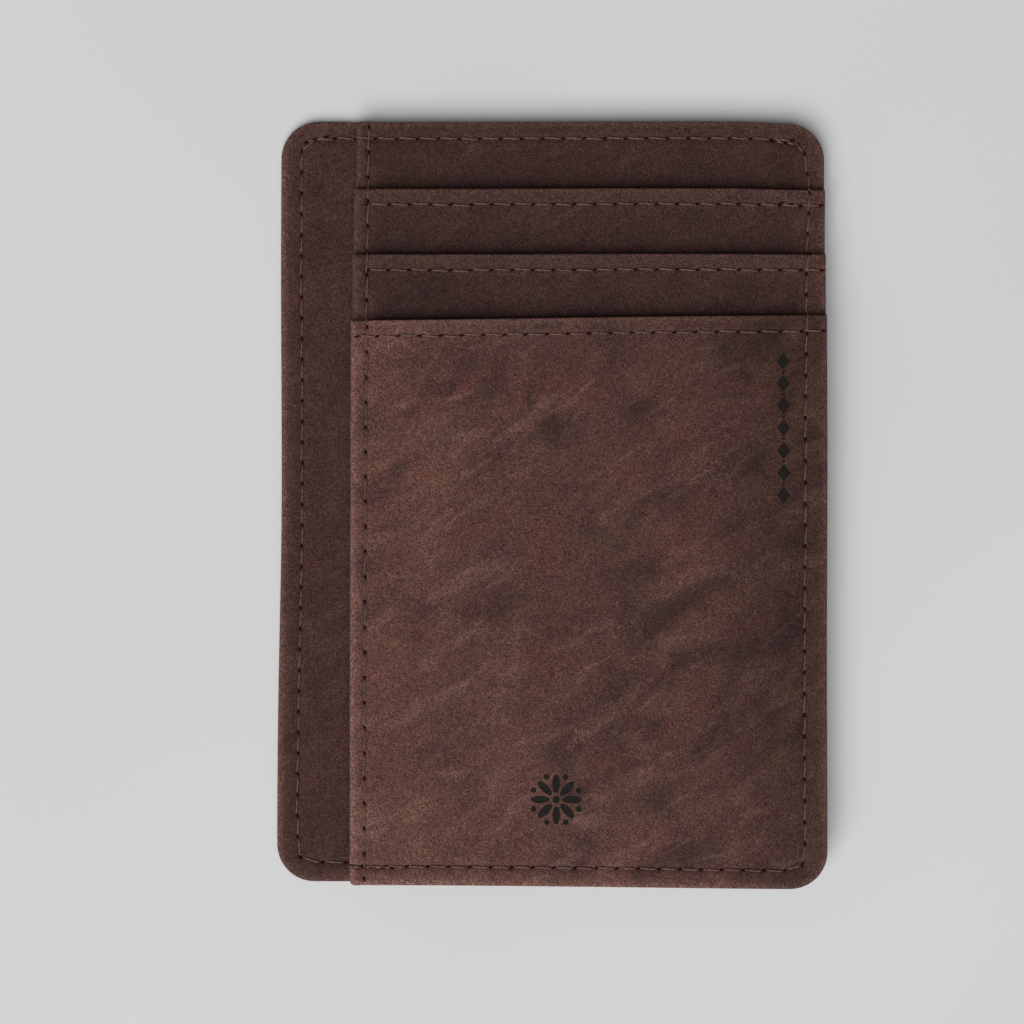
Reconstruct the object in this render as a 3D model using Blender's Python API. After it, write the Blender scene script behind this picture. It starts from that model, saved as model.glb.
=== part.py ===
"""Slim leather card wallet: a back half and a stack of three card slots, sewn together round the
edge, with the cash pocket between them open on the left.

Metres, +Z up. The wallet lies on its back at z = 0, its top edge towards +Y and the mouth of its
cash pocket towards -X. The origin is the middle of the back face. Sheets lie flat and parallel,
and each pocket is an open gap between two of them, closed on its other sides by sewn margins."""

import math

import bmesh
import bpy
from mathutils import Vector

MM = 0.001
SAME_POINT = 1e-4 * MM

# Outline of the wallet
WIDTH = 80 * MM
HEIGHT = 112 * MM
CORNER = 5.5 * MM
ARC_STEPS = 7
STACK_RIGHT = WIDTH / 2
STACK_TOP = HEIGHT / 2
STACK_BOTTOM = -HEIGHT / 2

# Sheets
BACK_LEATHER = 0.6 * MM
LEATHER = 0.45 * MM
SKIVED_LEATHER = 0.4 * MM
SHIELD = 0.08 * MM
LINING = 0.12 * MM
GLUE = 0.05 * MM  # gap between sheets that lie on each other
SOFT_EDGE = 0.1 * MM

# Pockets
CARD_GAP = 0.8 * MM  # a bank card is 0.76 mm thick
CASH_GAP = 1.0 * MM
CARD_SEAT = 79.5 * MM  # from a slot's mouth down to the seam that the card stands on
FLOOR_DEPTH = 3 * MM
SIDE_MARGIN = 3.8 * MM
MOUTH_MARGIN = 3.2 * MM
FOLD_WIDTH = 8 * MM  # leather of the base panel turned under at the cash pocket's mouth
INNER_CORNER = 0.8 * MM

# The card stack from the base up. Each slot has a name, a left edge and a mouth, its upper edge
BASE_LEFT = -28.7 * MM
SLOTS = (
    ("slot_1", -29.0 * MM, 46.0 * MM),
    ("slot_2", -29.2 * MM, 36.2 * MM),
    ("front", -29.5 * MM, 26.8 * MM),
)
HEM_WIDTH = 3.2 * MM
HEM_RISE = 0.15 * MM

# Seams
THREAD_RADIUS = 0.14 * MM
THREAD_CLEARANCE = 0.04 * MM
THREAD_STANDOFF = 0.3 * MM  # distance from a panel's edge at which a thread climbs it
WALK_STEP = 0.02 * MM
SEAM_SIDE = 37 * MM
SEAM_TOP = 53.4 * MM
SEAM_BOTTOM = -53.1 * MM
SEAM_CORNER = 2.6 * MM
MOUTH_SEAM = -26.9 * MM
HEM_SEAM = 2.35 * MM  # below the mouth
CROSSING = 0.5 * MM  # a seam stops this far from one that it would cross
GROOVE_HALF_WIDTH = 0.25 * MM
GROOVE_DEPTH = 0.34 * MM

# Heights of the sheets, from the back face up
BACK_SHIELD_Z = BACK_LEATHER + GLUE
INNER_Z = BACK_SHIELD_Z + SHIELD + GLUE
INNER_TOP = INNER_Z + LEATHER
LINING_Z = INNER_TOP + CASH_GAP
FRONT_SHIELD_Z = LINING_Z + LINING + GLUE
BASE_Z = FRONT_SHIELD_Z + SHIELD + GLUE
BASE_TOP = BASE_Z + LEATHER


def slot_z(index):
    """Underside of a slot's panel: one card gap above the panel under it."""
    return BASE_TOP + CARD_GAP + index * (SKIVED_LEATHER + CARD_GAP)


def material(name, color, roughness, metallic=0.0):
    made = bpy.data.materials.new(name)
    made.use_nodes = True
    shader = made.node_tree.nodes["Principled BSDF"]
    shader.inputs["Base Color"].default_value = (*color, 1)
    shader.inputs["Roughness"].default_value = roughness
    shader.inputs["Metallic"].default_value = metallic
    made.diffuse_color = (*color, 1)
    return made


def outline(left, right, bottom, top, radii):
    """Counter-clockwise points of a rectangle, from its lower left corner, with one radius for each
    corner: lower left, lower right, upper right, upper left."""
    corners = ((left, bottom, 1, 1), (right, bottom, -1, 1), (right, top, -1, -1), (left, top, 1, -1))
    points = []
    for index, ((x, y, into_x, into_y), radius) in enumerate(zip(corners, radii)):
        centre_x, centre_y = x + into_x * radius, y + into_y * radius
        for step in range(ARC_STEPS + 1):
            angle = math.pi + (index + step / ARC_STEPS) * math.pi / 2
            points.append((centre_x + radius * math.cos(angle), centre_y + radius * math.sin(angle)))
    return points


def add_object(name, bm, skin):
    bmesh.ops.recalc_face_normals(bm, faces=bm.faces)
    mesh = bpy.data.meshes.new(name)
    bm.to_mesh(mesh)
    bm.free()
    mesh.materials.append(skin)
    made = bpy.data.objects.new(name, mesh)
    bpy.context.scene.collection.objects.link(made)
    return made


def sheet_bmesh(points, low, high):
    bm = bmesh.new()
    bm.faces.new([bm.verts.new((x, y, low)) for x, y in without_repeats(points)])
    grown = bmesh.ops.extrude_face_region(bm, geom=list(bm.faces))["geom"]
    raised = [v for v in grown if isinstance(v, bmesh.types.BMVert)]
    bmesh.ops.translate(bm, verts=raised, vec=(0, 0, high - low))
    return bm


def thicken_band(bm, place, normal, side, amount):
    """Grows the flat face on one side (+1 up, -1 down) that lies beyond a plane, as where leather is
    turned over and the sheet is double."""
    bm.normal_update()
    geometry = list(bm.verts) + list(bm.edges) + list(bm.faces)
    bmesh.ops.bisect_plane(bm, geom=geometry, plane_co=place, plane_no=normal, dist=SAME_POINT)
    bm.normal_update()
    place, normal = Vector(place), Vector(normal)
    band = [
        face
        for face in bm.faces
        if face.normal.z * side > 0.9 and (face.calc_center_median() - place).dot(normal) > 0
    ]
    grown = bmesh.ops.extrude_face_region(bm, geom=band)["geom"]
    bmesh.ops.delete(bm, geom=band, context="FACES_ONLY")
    moved = [v for v in grown if isinstance(v, bmesh.types.BMVert)]
    bmesh.ops.translate(bm, verts=moved, vec=(0, 0, side * amount))
    return bm


def soften(made):
    """Rounds the edges of a leather sheet."""
    bevel = made.modifiers.new("soft_edge", "BEVEL")
    bevel.width = SOFT_EDGE
    bevel.segments = 2
    bevel.limit_method = "ANGLE"
    made.data.shade_smooth()
    made.data.set_sharp_from_angle(angle=math.radians(40))
    return made


def back_outline(inset=0.0, left=-WIDTH / 2, left_radius=CORNER):
    """The back half's outline, or the part of it right of a straight edge."""
    radius = CORNER - inset
    left_radius = max(left_radius - inset, 0.0)
    return outline(
        left + inset, STACK_RIGHT - inset, STACK_BOTTOM + inset, STACK_TOP - inset,
        (left_radius, radius, radius, left_radius),
    )


def slot_outline(left, mouth):
    """A card slot's outline: a folded left edge, a rounded lower right corner, a straight mouth."""
    return outline(left, STACK_RIGHT, STACK_BOTTOM, mouth, (INNER_CORNER, CORNER, 0.0, 0.0))


def without_repeats(points):
    """Drops the doubled points of corners that have no radius."""
    kept = []
    for point in points:
        if not kept or math.dist(point, kept[-1]) > SAME_POINT:
            kept.append(point)
    if math.dist(kept[0], kept[-1]) < SAME_POINT:
        kept.pop()
    return kept


def flat_sheet(name, points, low, thickness, skin):
    return add_object(name, sheet_bmesh(points, low, low + thickness), skin)


def seam_route(outwards=0.0):
    """Closed route of the seam round the edge, or one beside it."""
    side, radius = SEAM_SIDE + outwards, SEAM_CORNER + outwards
    return outline(-side, side, SEAM_BOTTOM - outwards, SEAM_TOP + outwards, (radius,) * 4)


def ring_cutter(name, half_width, depth, skin):
    """Solid ring along the seam round the edge. It only cuts its groove."""
    profile = ((half_width, -depth), (half_width, depth), (-half_width, depth), (-half_width, -depth))
    bm = bmesh.new()
    rings = [[bm.verts.new((x, y, z)) for x, y in seam_route(outwards)] for outwards, z in profile]
    for first, second in zip(rings, rings[1:] + rings[:1]):
        for i in range(len(first)):
            bm.faces.new((first[i - 1], first[i], second[i], second[i - 1]))
    cutter = add_object(name, bm, skin)
    cutter.hide_render = True
    cutter.display_type = "WIRE"
    return cutter


def slot_margin(name, left, mouth, gap_low, skin):
    """Turned-in left, lower and right edges of a card slot, as a U that is open at the mouth."""
    lower_arcs = slice(0, 2 * ARC_STEPS + 2)
    outer = outline(left, STACK_RIGHT, STACK_BOTTOM, mouth, (INNER_CORNER, CORNER, 0, 0))
    inner_left, inner_right = left + MOUTH_MARGIN, STACK_RIGHT - SIDE_MARGIN
    inner_radii = (INNER_CORNER, CORNER - SIDE_MARGIN, 0, 0)
    inner = outline(inner_left, inner_right, STACK_BOTTOM + SIDE_MARGIN, mouth, inner_radii)
    path = [(left, mouth), *outer[lower_arcs], (STACK_RIGHT, mouth)]
    path += [(inner_right, mouth), *inner[lower_arcs][::-1], (inner_left, mouth)]
    return flat_sheet(name, path, gap_low + GLUE, CARD_GAP - 2 * GLUE, skin)


def cash_margin(skin):
    """Turned-in lower, right and upper edges of the cash pocket, which is open on the left."""
    right_arcs = slice(ARC_STEPS + 1, 3 * ARC_STEPS + 3)
    outer = outline(BASE_LEFT, STACK_RIGHT, STACK_BOTTOM, STACK_TOP, (0, CORNER, CORNER, 0))
    inner_right, inner_top = STACK_RIGHT - SIDE_MARGIN, STACK_TOP - SIDE_MARGIN
    inner_radius = CORNER - SIDE_MARGIN
    inner_radii = (0, inner_radius, inner_radius, 0)
    inner = outline(BASE_LEFT, inner_right, -inner_top, inner_top, inner_radii)
    path = [(BASE_LEFT, STACK_BOTTOM), *outer[right_arcs], (BASE_LEFT, STACK_TOP)]
    path += [(BASE_LEFT, inner_top), *inner[right_arcs][::-1], (BASE_LEFT, -inner_top)]
    return flat_sheet("cash_pocket_margin", path, INNER_TOP + GLUE, CASH_GAP - 2 * GLUE, skin)


def surface(x, y):
    """Height of the wallet's front side at a point, which a thread on it lies on."""
    height = INNER_TOP
    if x >= BASE_LEFT:
        height = BASE_TOP
    for index, (_, left, mouth) in enumerate(SLOTS):
        if x >= left and y <= mouth:
            height = slot_z(index) + SKIVED_LEATHER
            if y >= mouth - HEM_WIDTH:
                height += HEM_RISE
    return height


def drape(route):
    """Lays a route on the front side: at each step it climbs or drops just clear of the edge."""
    rise = THREAD_RADIUS + THREAD_CLEARANCE
    points = []
    for (x0, y0), (x1, y1) in zip(route, route[1:]):
        length = math.dist((x0, y0), (x1, y1))
        along_x, along_y = (x1 - x0) / length, (y1 - y0) / length
        points.append((x0, y0, surface(x0, y0) + rise))
        height = surface(x0, y0)
        for step in range(1, int(length / WALK_STEP)):
            reached = step * WALK_STEP
            here = surface(x0 + along_x * reached, y0 + along_y * reached)
            if here != height:
                clear = THREAD_STANDOFF if here < height else -THREAD_STANDOFF
                x, y = x0 + along_x * (reached + clear), y0 + along_y * (reached + clear)
                points += [(x, y, height + rise), (x, y, here + rise)]
                height = here
    x, y = route[-1]
    points.append((x, y, surface(x, y) + rise))
    return points


def thread(name, points, skin, closed=False):
    """A row of stitches as one round cord."""
    curve = bpy.data.curves.new(name, "CURVE")
    curve.dimensions = "3D"
    curve.bevel_depth = THREAD_RADIUS
    curve.bevel_resolution = 1
    curve.use_fill_caps = True
    spline = curve.splines.new("POLY")
    spline.points.add(len(points) - 1)
    for point, place in zip(spline.points, points):
        point.co = (*place, 1)
    spline.use_cyclic_u = closed
    curve.materials.append(skin)
    made = bpy.data.objects.new(name, curve)
    bpy.context.scene.collection.objects.link(made)
    return made


def build_back_half(leather, shield, sewing):
    back = flat_sheet("back_panel", back_outline(), 0.0, BACK_LEATHER, leather)
    groove = back.modifiers.new("thread_groove", "BOOLEAN")
    groove.operation = "DIFFERENCE"
    groove.solver = "EXACT"
    groove.object = ring_cutter("groove_cutter", GROOVE_HALF_WIDTH, GROOVE_DEPTH, leather)
    soften(back)
    flat_sheet("back_shield", back_outline(inset=SOFT_EDGE * 2), BACK_SHIELD_Z, SHIELD, shield)
    soften(flat_sheet("inner_panel", back_outline(), INNER_Z, LEATHER, leather))
    cash_margin(leather)
    in_groove = [(x, y, THREAD_RADIUS + THREAD_CLEARANCE / 2) for x, y in seam_route()]
    thread("perimeter_bobbin_thread", in_groove, sewing, closed=True)


def build_base(leather, fabric, shield):
    """The card stack's bottom: lining, shield and the base panel folded round them at the mouth."""
    after_fold = BASE_LEFT + FOLD_WIDTH
    inside_fold = back_outline(inset=GLUE, left=after_fold, left_radius=0.0)
    flat_sheet("front_lining", inside_fold, LINING_Z, LINING, fabric)
    flat_sheet("front_shield", inside_fold, FRONT_SHIELD_Z, SHIELD, shield)
    points = outline(
        BASE_LEFT, STACK_RIGHT, STACK_BOTTOM, STACK_TOP,
        (INNER_CORNER, CORNER, CORNER, INNER_CORNER),
    )
    bm = sheet_bmesh(points, BASE_Z, BASE_TOP)
    thicken_band(bm, (after_fold - GLUE, 0, 0), (-1, 0, 0), -1, BASE_Z - LINING_Z)
    soften(add_object("base_panel", bm, leather))


def build_slot(index, leather):
    """One card slot: the margins that close it, the seam its card stands on, and its panel."""
    name, left, mouth = SLOTS[index]
    low = slot_z(index)
    slot_margin(f"{name}_margin", left, mouth, low - CARD_GAP, leather)
    bm = sheet_bmesh(slot_outline(left, mouth), low, low + SKIVED_LEATHER)
    thicken_band(bm, (0, mouth - HEM_WIDTH, 0), (0, 1, 0), 1, HEM_RISE)
    soften(add_object(f"{name}_panel", bm, leather))


def build_floor(index, leather, sewing):
    """The seam across a slot that its card stands on, where the slot is deeper than a card."""
    name, left, mouth = SLOTS[index]
    low = slot_z(index)
    floor_top = mouth - CARD_SEAT
    inner_left = left + MOUTH_MARGIN + GLUE
    inner_right = STACK_RIGHT - SIDE_MARGIN - GLUE
    points = outline(inner_left, inner_right, floor_top - FLOOR_DEPTH, floor_top, (0,) * 4)
    flat_sheet(f"{name}_floor", points, low - CARD_GAP + GLUE, CARD_GAP - 2 * GLUE, leather)
    seam_y = floor_top - FLOOR_DEPTH / 2
    height = low + SKIVED_LEATHER + THREAD_RADIUS + THREAD_CLEARANCE
    ends = [(x, seam_y, height) for x in (inner_left + CROSSING, inner_right - CROSSING)]
    thread(f"{name}_floor_thread", ends, sewing)


def build_front_seams(sewing):
    route = seam_route()
    thread("perimeter_needle_thread", drape(route + route[:1])[:-1], sewing, closed=True)
    upper, lower = SEAM_TOP - CROSSING, SEAM_BOTTOM + CROSSING
    thread("mouth_needle_thread", drape([(MOUTH_SEAM, upper), (MOUTH_SEAM, lower)]), sewing)
    under = LINING_Z - THREAD_RADIUS - THREAD_CLEARANCE
    inside = STACK_TOP - SIDE_MARGIN - CROSSING
    thread("mouth_bobbin_thread", [(MOUTH_SEAM, y, under) for y in (inside, -inside)], sewing)
    for name, _, mouth in SLOTS:
        seam_y = mouth - HEM_SEAM
        ends = [(MOUTH_SEAM + CROSSING, seam_y), (SEAM_SIDE - CROSSING, seam_y)]
        thread(f"{name}_hem_thread", drape(ends), sewing)


def build():
    for old in list(bpy.data.objects):
        bpy.data.objects.remove(old)
    leather = material("leather", (0.087, 0.042, 0.037), 0.62)
    fabric = material("lining", (0.028, 0.020, 0.018), 0.85)
    shield = material("shield", (0.42, 0.43, 0.45), 0.4, 0.8)
    sewing = material("thread", (0.105, 0.050, 0.040), 0.7)
    build_back_half(leather, shield, sewing)
    build_base(leather, fabric, shield)
    for index in range(len(SLOTS)):
        build_slot(index, leather)
    for index in range(len(SLOTS) - 1):
        build_floor(index, leather, sewing)
    build_front_seams(sewing)


build()
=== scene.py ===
"""Looks of the leather card wallet, built round its CAD frame.

The CAD gives every size and place. Lengths here are in millimetres until a mesh is made. Each leather
panel is a closed sheet on a grid whose lines crowd at its edges and needle holes, and each stitch is a
short twisted thread that dives into its two holes."""

import math

import bmesh
import bpy
import numpy as np
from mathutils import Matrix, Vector


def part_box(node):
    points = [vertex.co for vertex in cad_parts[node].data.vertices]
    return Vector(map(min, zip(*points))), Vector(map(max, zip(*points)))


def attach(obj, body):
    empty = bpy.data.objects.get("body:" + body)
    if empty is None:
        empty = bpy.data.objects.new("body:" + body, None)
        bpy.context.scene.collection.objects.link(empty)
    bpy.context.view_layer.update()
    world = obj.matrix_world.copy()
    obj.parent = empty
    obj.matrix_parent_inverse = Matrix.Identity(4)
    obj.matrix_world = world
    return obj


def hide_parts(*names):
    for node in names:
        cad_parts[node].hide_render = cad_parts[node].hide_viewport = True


MM = 0.001

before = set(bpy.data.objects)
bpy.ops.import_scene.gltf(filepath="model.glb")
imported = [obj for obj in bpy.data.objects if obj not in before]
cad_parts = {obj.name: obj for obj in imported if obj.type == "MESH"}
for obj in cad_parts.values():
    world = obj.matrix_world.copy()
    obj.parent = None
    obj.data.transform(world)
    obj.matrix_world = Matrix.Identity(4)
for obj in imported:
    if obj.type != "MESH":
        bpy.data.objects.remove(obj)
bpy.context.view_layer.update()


def box_mm(node):
    """Lowest and highest corner of a CAD node, in millimetres."""
    return [np.array(corner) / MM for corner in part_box(node)]


# Driving sizes that the CAD boxes don't give
CORNER = 5.5
FOLD_CORNER = 0.8
HEM_WIDTH = 3.2
HEM_RISE = 0.15
SLOT_FOLD = 2.4
FOLD_BLEND = 1.2
GLUE = 0.05
STITCH_PITCH = 3.05
MOUTH_PITCH = 3.65
TACK_PITCH = 1.55
THREAD_RADIUS = 0.11
CAD_THREAD_RADIUS = 0.14
SEAM_GROOVE = 0.12
SEAM_GROOVE_WIDTH = 0.55
HOLE_DEPTH = 0.2
HOLE_LENGTH = 0.4
HOLE_WIDTH = 0.18
TABLE_STEP = 0.05  # spacing of the tables that hold each seam's relief
TABLE_REACH = 1.6
RIM_WIDTH = 2.9
COVERED_STEP = 1.6
MARGIN_WIDTH = 3.8
MARGIN_INSET = 0.12  # how far the turned-in edges lie behind the panels' edges
FOIL_CORNER = 5.3
MARK_DEPTH = 0.1

# How a hand-sewn wallet strays from its pattern
LEFT_DRIFT = 0.65
LOWER_SLOPE = 0.6
MOUTH_RISE = 0.4
FOLD_HEIGHTS = (2, 2.9, 4.2, 5.4, 6.6)
FOLD_SHIFTS = (0, -0.2, -0.07, 0.02, 0.2)  # how far right each fold lies, at those heights

SLOT_NAMES = ("slot_1", "slot_2", "front")  # from the back up


# ---------------------------------------------------------------- shapes in the plane


def smooth(t):
    """0 up to t = 0, 1 from t = 1, and an S-curve between."""
    t = np.clip(t, 0.0, 1.0)
    return t * t * (3 - 2 * t)


def warp(x, y, z):
    """The small irregularities of a sewn wallet: its long edge drifts, its lower edge slopes, the
    back half is cut a little long, the front slot's mouth rises to the right, and the folds at the
    cash pocket step out less than they were cut to."""
    in_stack = smooth((z - 2) / 0.5)
    on_front = smooth((z - 5.6) / 0.5)
    strip = smooth((-24 - x) / 8)
    side = -LEFT_DRIFT * smooth(-y / 50) * smooth((-30 - x) / 6) + 0.05 * np.sin(y / 9.0 + 1.0)
    lower = 0.15 * in_stack - LOWER_SLOPE * smooth((x + 24) / 60) - 0.12 * strip
    lower = lower * smooth((-20 - y) / 34)
    upper = (0.15 + 0.1 * (1 - in_stack)) * strip - 0.12 - 0.3 * smooth((x - 26) / 12)
    upper = upper * smooth((y - 30) / 24)
    mouth = MOUTH_RISE * on_front * np.clip((x - 5) / 35, -1, 1) * smooth((y + 3) / 20)
    folds = np.interp(z, FOLD_HEIGHTS, FOLD_SHIFTS) * smooth((y - 8) / 16)
    side = side + (folds - 0.12 * on_front * smooth((-20 - y) / 30)) * smooth((-24 - x) / 4)
    return x + side, y + lower + upper + mouth + 0.04 * np.sin(x / 11.0)


def to_world(points):
    """Millimetre points, warped, as metres."""
    points = np.asarray(points, float).reshape(-1, 3)
    x, y = warp(*points.T)
    return np.column_stack((x, y, points[:, 2])) * MM


def waves(x, y, seed, amplitude, length):
    """Gentle unevenness of a hand-cut sheet, the same each run."""
    rng = np.random.default_rng(seed)
    total = np.zeros_like(x)
    for _ in range(6):
        angle, phase = rng.uniform(0, 2 * math.pi, 2)
        k = 2 * math.pi / (length * rng.uniform(0.7, 1.5))
        total += np.sin(k * (math.cos(angle) * x + math.sin(angle) * y) + phase)
    return amplitude * total / 2.5


def resample(route, pitch, closed):
    """Points one pitch apart along a route of straight runs, its length shared out evenly."""
    route = np.array(route + route[:1] if closed else route, float)
    steps = np.linalg.norm(np.diff(route, axis=0), axis=1)
    reach = np.concatenate(([0.0], np.cumsum(steps)))
    count = max(2, round(reach[-1] / pitch))
    at = np.linspace(0, reach[-1], count + 1)
    points = np.column_stack([np.interp(at, reach, route[:, i]) for i in range(2)])
    return points[:-1] if closed else points


class Seam:
    """A row of needle holes along a route, and tables of the groove and dimples that it presses.
    The tables make the relief quick to read at any point."""

    def __init__(self, route, closed=False, pitch=STITCH_PITCH):
        self.closed = closed
        self.holes = resample(route, pitch, closed)
        before, after = np.roll(self.holes, 1, axis=0), np.roll(self.holes, -1, axis=0)
        if not closed:
            before[0], after[-1] = self.holes[0], self.holes[-1]
        along = after - before
        self.along = along / np.linalg.norm(along, axis=1)[:, None]
        self.low = self.holes.min(axis=0) - TABLE_REACH
        size = np.ceil((self.holes.max(axis=0) + TABLE_REACH - self.low) / TABLE_STEP).astype(int) + 2
        self.groove_table, self.dimple_table = np.zeros(size), np.zeros(size)
        self.fill_tables()

    def runs(self):
        """Both ends of each stitch."""
        ends = np.roll(self.holes, -1, axis=0) if self.closed else self.holes[1:]
        return list(zip(self.holes, ends))

    def window(self, *points):
        """The table cells round some points, and where they lie."""
        first = ((np.min(points, axis=0) - TABLE_REACH - self.low) / TABLE_STEP).astype(int)
        last = ((np.max(points, axis=0) + TABLE_REACH - self.low) / TABLE_STEP).astype(int)
        rows, columns = np.arange(first[0], last[0] + 1), np.arange(first[1], last[1] + 1)
        at_x, at_y = self.low[0] + rows * TABLE_STEP, self.low[1] + columns * TABLE_STEP
        x, y = np.meshgrid(at_x, at_y, indexing="ij")
        return (slice(first[0], last[0] + 1), slice(first[1], last[1] + 1)), x, y

    def fill_tables(self):
        for start, end in self.runs():
            cells, x, y = self.window(start, end)
            run = end - start
            t = np.clip(((x - start[0]) * run[0] + (y - start[1]) * run[1]) / (run @ run), 0, 1)
            away = np.hypot(x - start[0] - t * run[0], y - start[1] - t * run[1])
            pressed = np.exp(-((away / SEAM_GROOVE_WIDTH) ** 2))
            self.groove_table[cells] = np.maximum(self.groove_table[cells], pressed)
        for hole, (u, v) in zip(self.holes, self.along):
            cells, x, y = self.window(hole)
            along = (x - hole[0]) * u + (y - hole[1]) * v
            across = (y - hole[1]) * u - (x - hole[0]) * v - 0.2 * along
            pressed = np.exp(-((along / HOLE_LENGTH) ** 2 + (across / HOLE_WIDTH) ** 2) / 2)
            self.dimple_table[cells] = np.maximum(self.dimple_table[cells], pressed)

    def read(self, table, x, y):
        """Values of a table between its cells, and zero outside it."""
        i, j = (x - self.low[0]) / TABLE_STEP, (y - self.low[1]) / TABLE_STEP
        within = (i >= 0) & (j >= 0) & (i < table.shape[0] - 1) & (j < table.shape[1] - 1)
        i, j = np.where(within, i, 0), np.where(within, j, 0)
        row, column = i.astype(int), j.astype(int)
        u, v = i - row, j - column
        near = table[row, column] * (1 - v) + table[row, column + 1] * v
        far = table[row + 1, column] * (1 - v) + table[row + 1, column + 1] * v
        return within * (near * (1 - u) + far * u)

    def groove(self, x, y):
        return self.read(self.groove_table, x, y)

    def dimples(self, x, y):
        return self.read(self.dimple_table, x, y)


def make_seams():
    """Every seam's route, from the CAD threads' boxes, with the sewer's small wander. The tacks are
    the few overlapping stitches where a seam starts, turns or ends."""
    (left, bottom, _), (right, top, _) = box_mm("perimeter_bobbin_thread")
    left, right = left + CAD_THREAD_RADIUS, right - CAD_THREAD_RADIUS
    bottom, top = bottom + CAD_THREAD_RADIUS, top - CAD_THREAD_RADIUS
    edge = [
        (left + 0.5, bottom + 0.7), (left, bottom + 4), (left + 0.1, 20), (left, top - 0.7),
        (left + 2.4, top + 0.2), (-30.0, top + 0.15), (right - 1.6, top + 0.15),
        (right - 0.1, top - 0.4), (right + 0.5, top - 4), (right + 0.75, 45), (right + 0.5, 40),
        (right + 0.2, 33), (right + 0.1, 26), (right - 0.2, 14), (right - 0.3, bottom + 1.4),
        (right - 1.2, bottom - 0.15), (-28.0, bottom - 0.15), (left + 3.4, bottom - 0.05),
    ]
    low, high = box_mm("mouth_needle_thread")
    mouth = (low[0] + high[0]) / 2
    mouth_route = [(mouth + 0.1, 55.2), (mouth - 0.05, 40), (mouth - 0.3, 20), (mouth - 0.45, -55.0)]
    seams = {"perimeter": Seam(edge, closed=True), "mouth": Seam(mouth_route, pitch=MOUTH_PITCH)}
    tacks = (
        ((-29.2, bottom), (-23.4, bottom - 0.35)), ((left + 0.7, top - 0.4), (left + 3.6, top + 0.4)),
        ((right - 4.4, top), (right - 1.0, top - 0.35)), ((33.6, 43.9), (36.5, 43.65)),
    )
    for index, route in enumerate(tacks):
        seams[f"tack_{index}"] = Seam(list(route), pitch=TACK_PITCH)
    for name in SLOT_NAMES:
        low, high = box_mm(f"{name}_hem_thread")
        y = (low[1] + high[1]) / 2
        start = mouth - 1.7 if name == "front" else mouth
        seams[name] = Seam([(start, y), (39.4, y)])
    for name in SLOT_NAMES[:2]:
        low, high = box_mm(f"{name}_floor_thread")
        y = (low[1] + high[1]) / 2
        seams[f"{name}_floor"] = Seam([(low[0], y), (high[0], y)])
    return seams


SEAMS = make_seams()
EDGE_SEAMS = ["perimeter", "tack_0", "tack_1", "tack_2"]


# ---------------------------------------------------------------- leather panels


SHELTER_SHADE = 0.56  # painted shade: how much darker the leather is beside the mouth of the next slot
SHELTER_REACH = 3.6
FOLD_RIDGE = 0.5  # how far in from a folded edge its pale ridge runs: pull-up and a painted highlight


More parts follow.
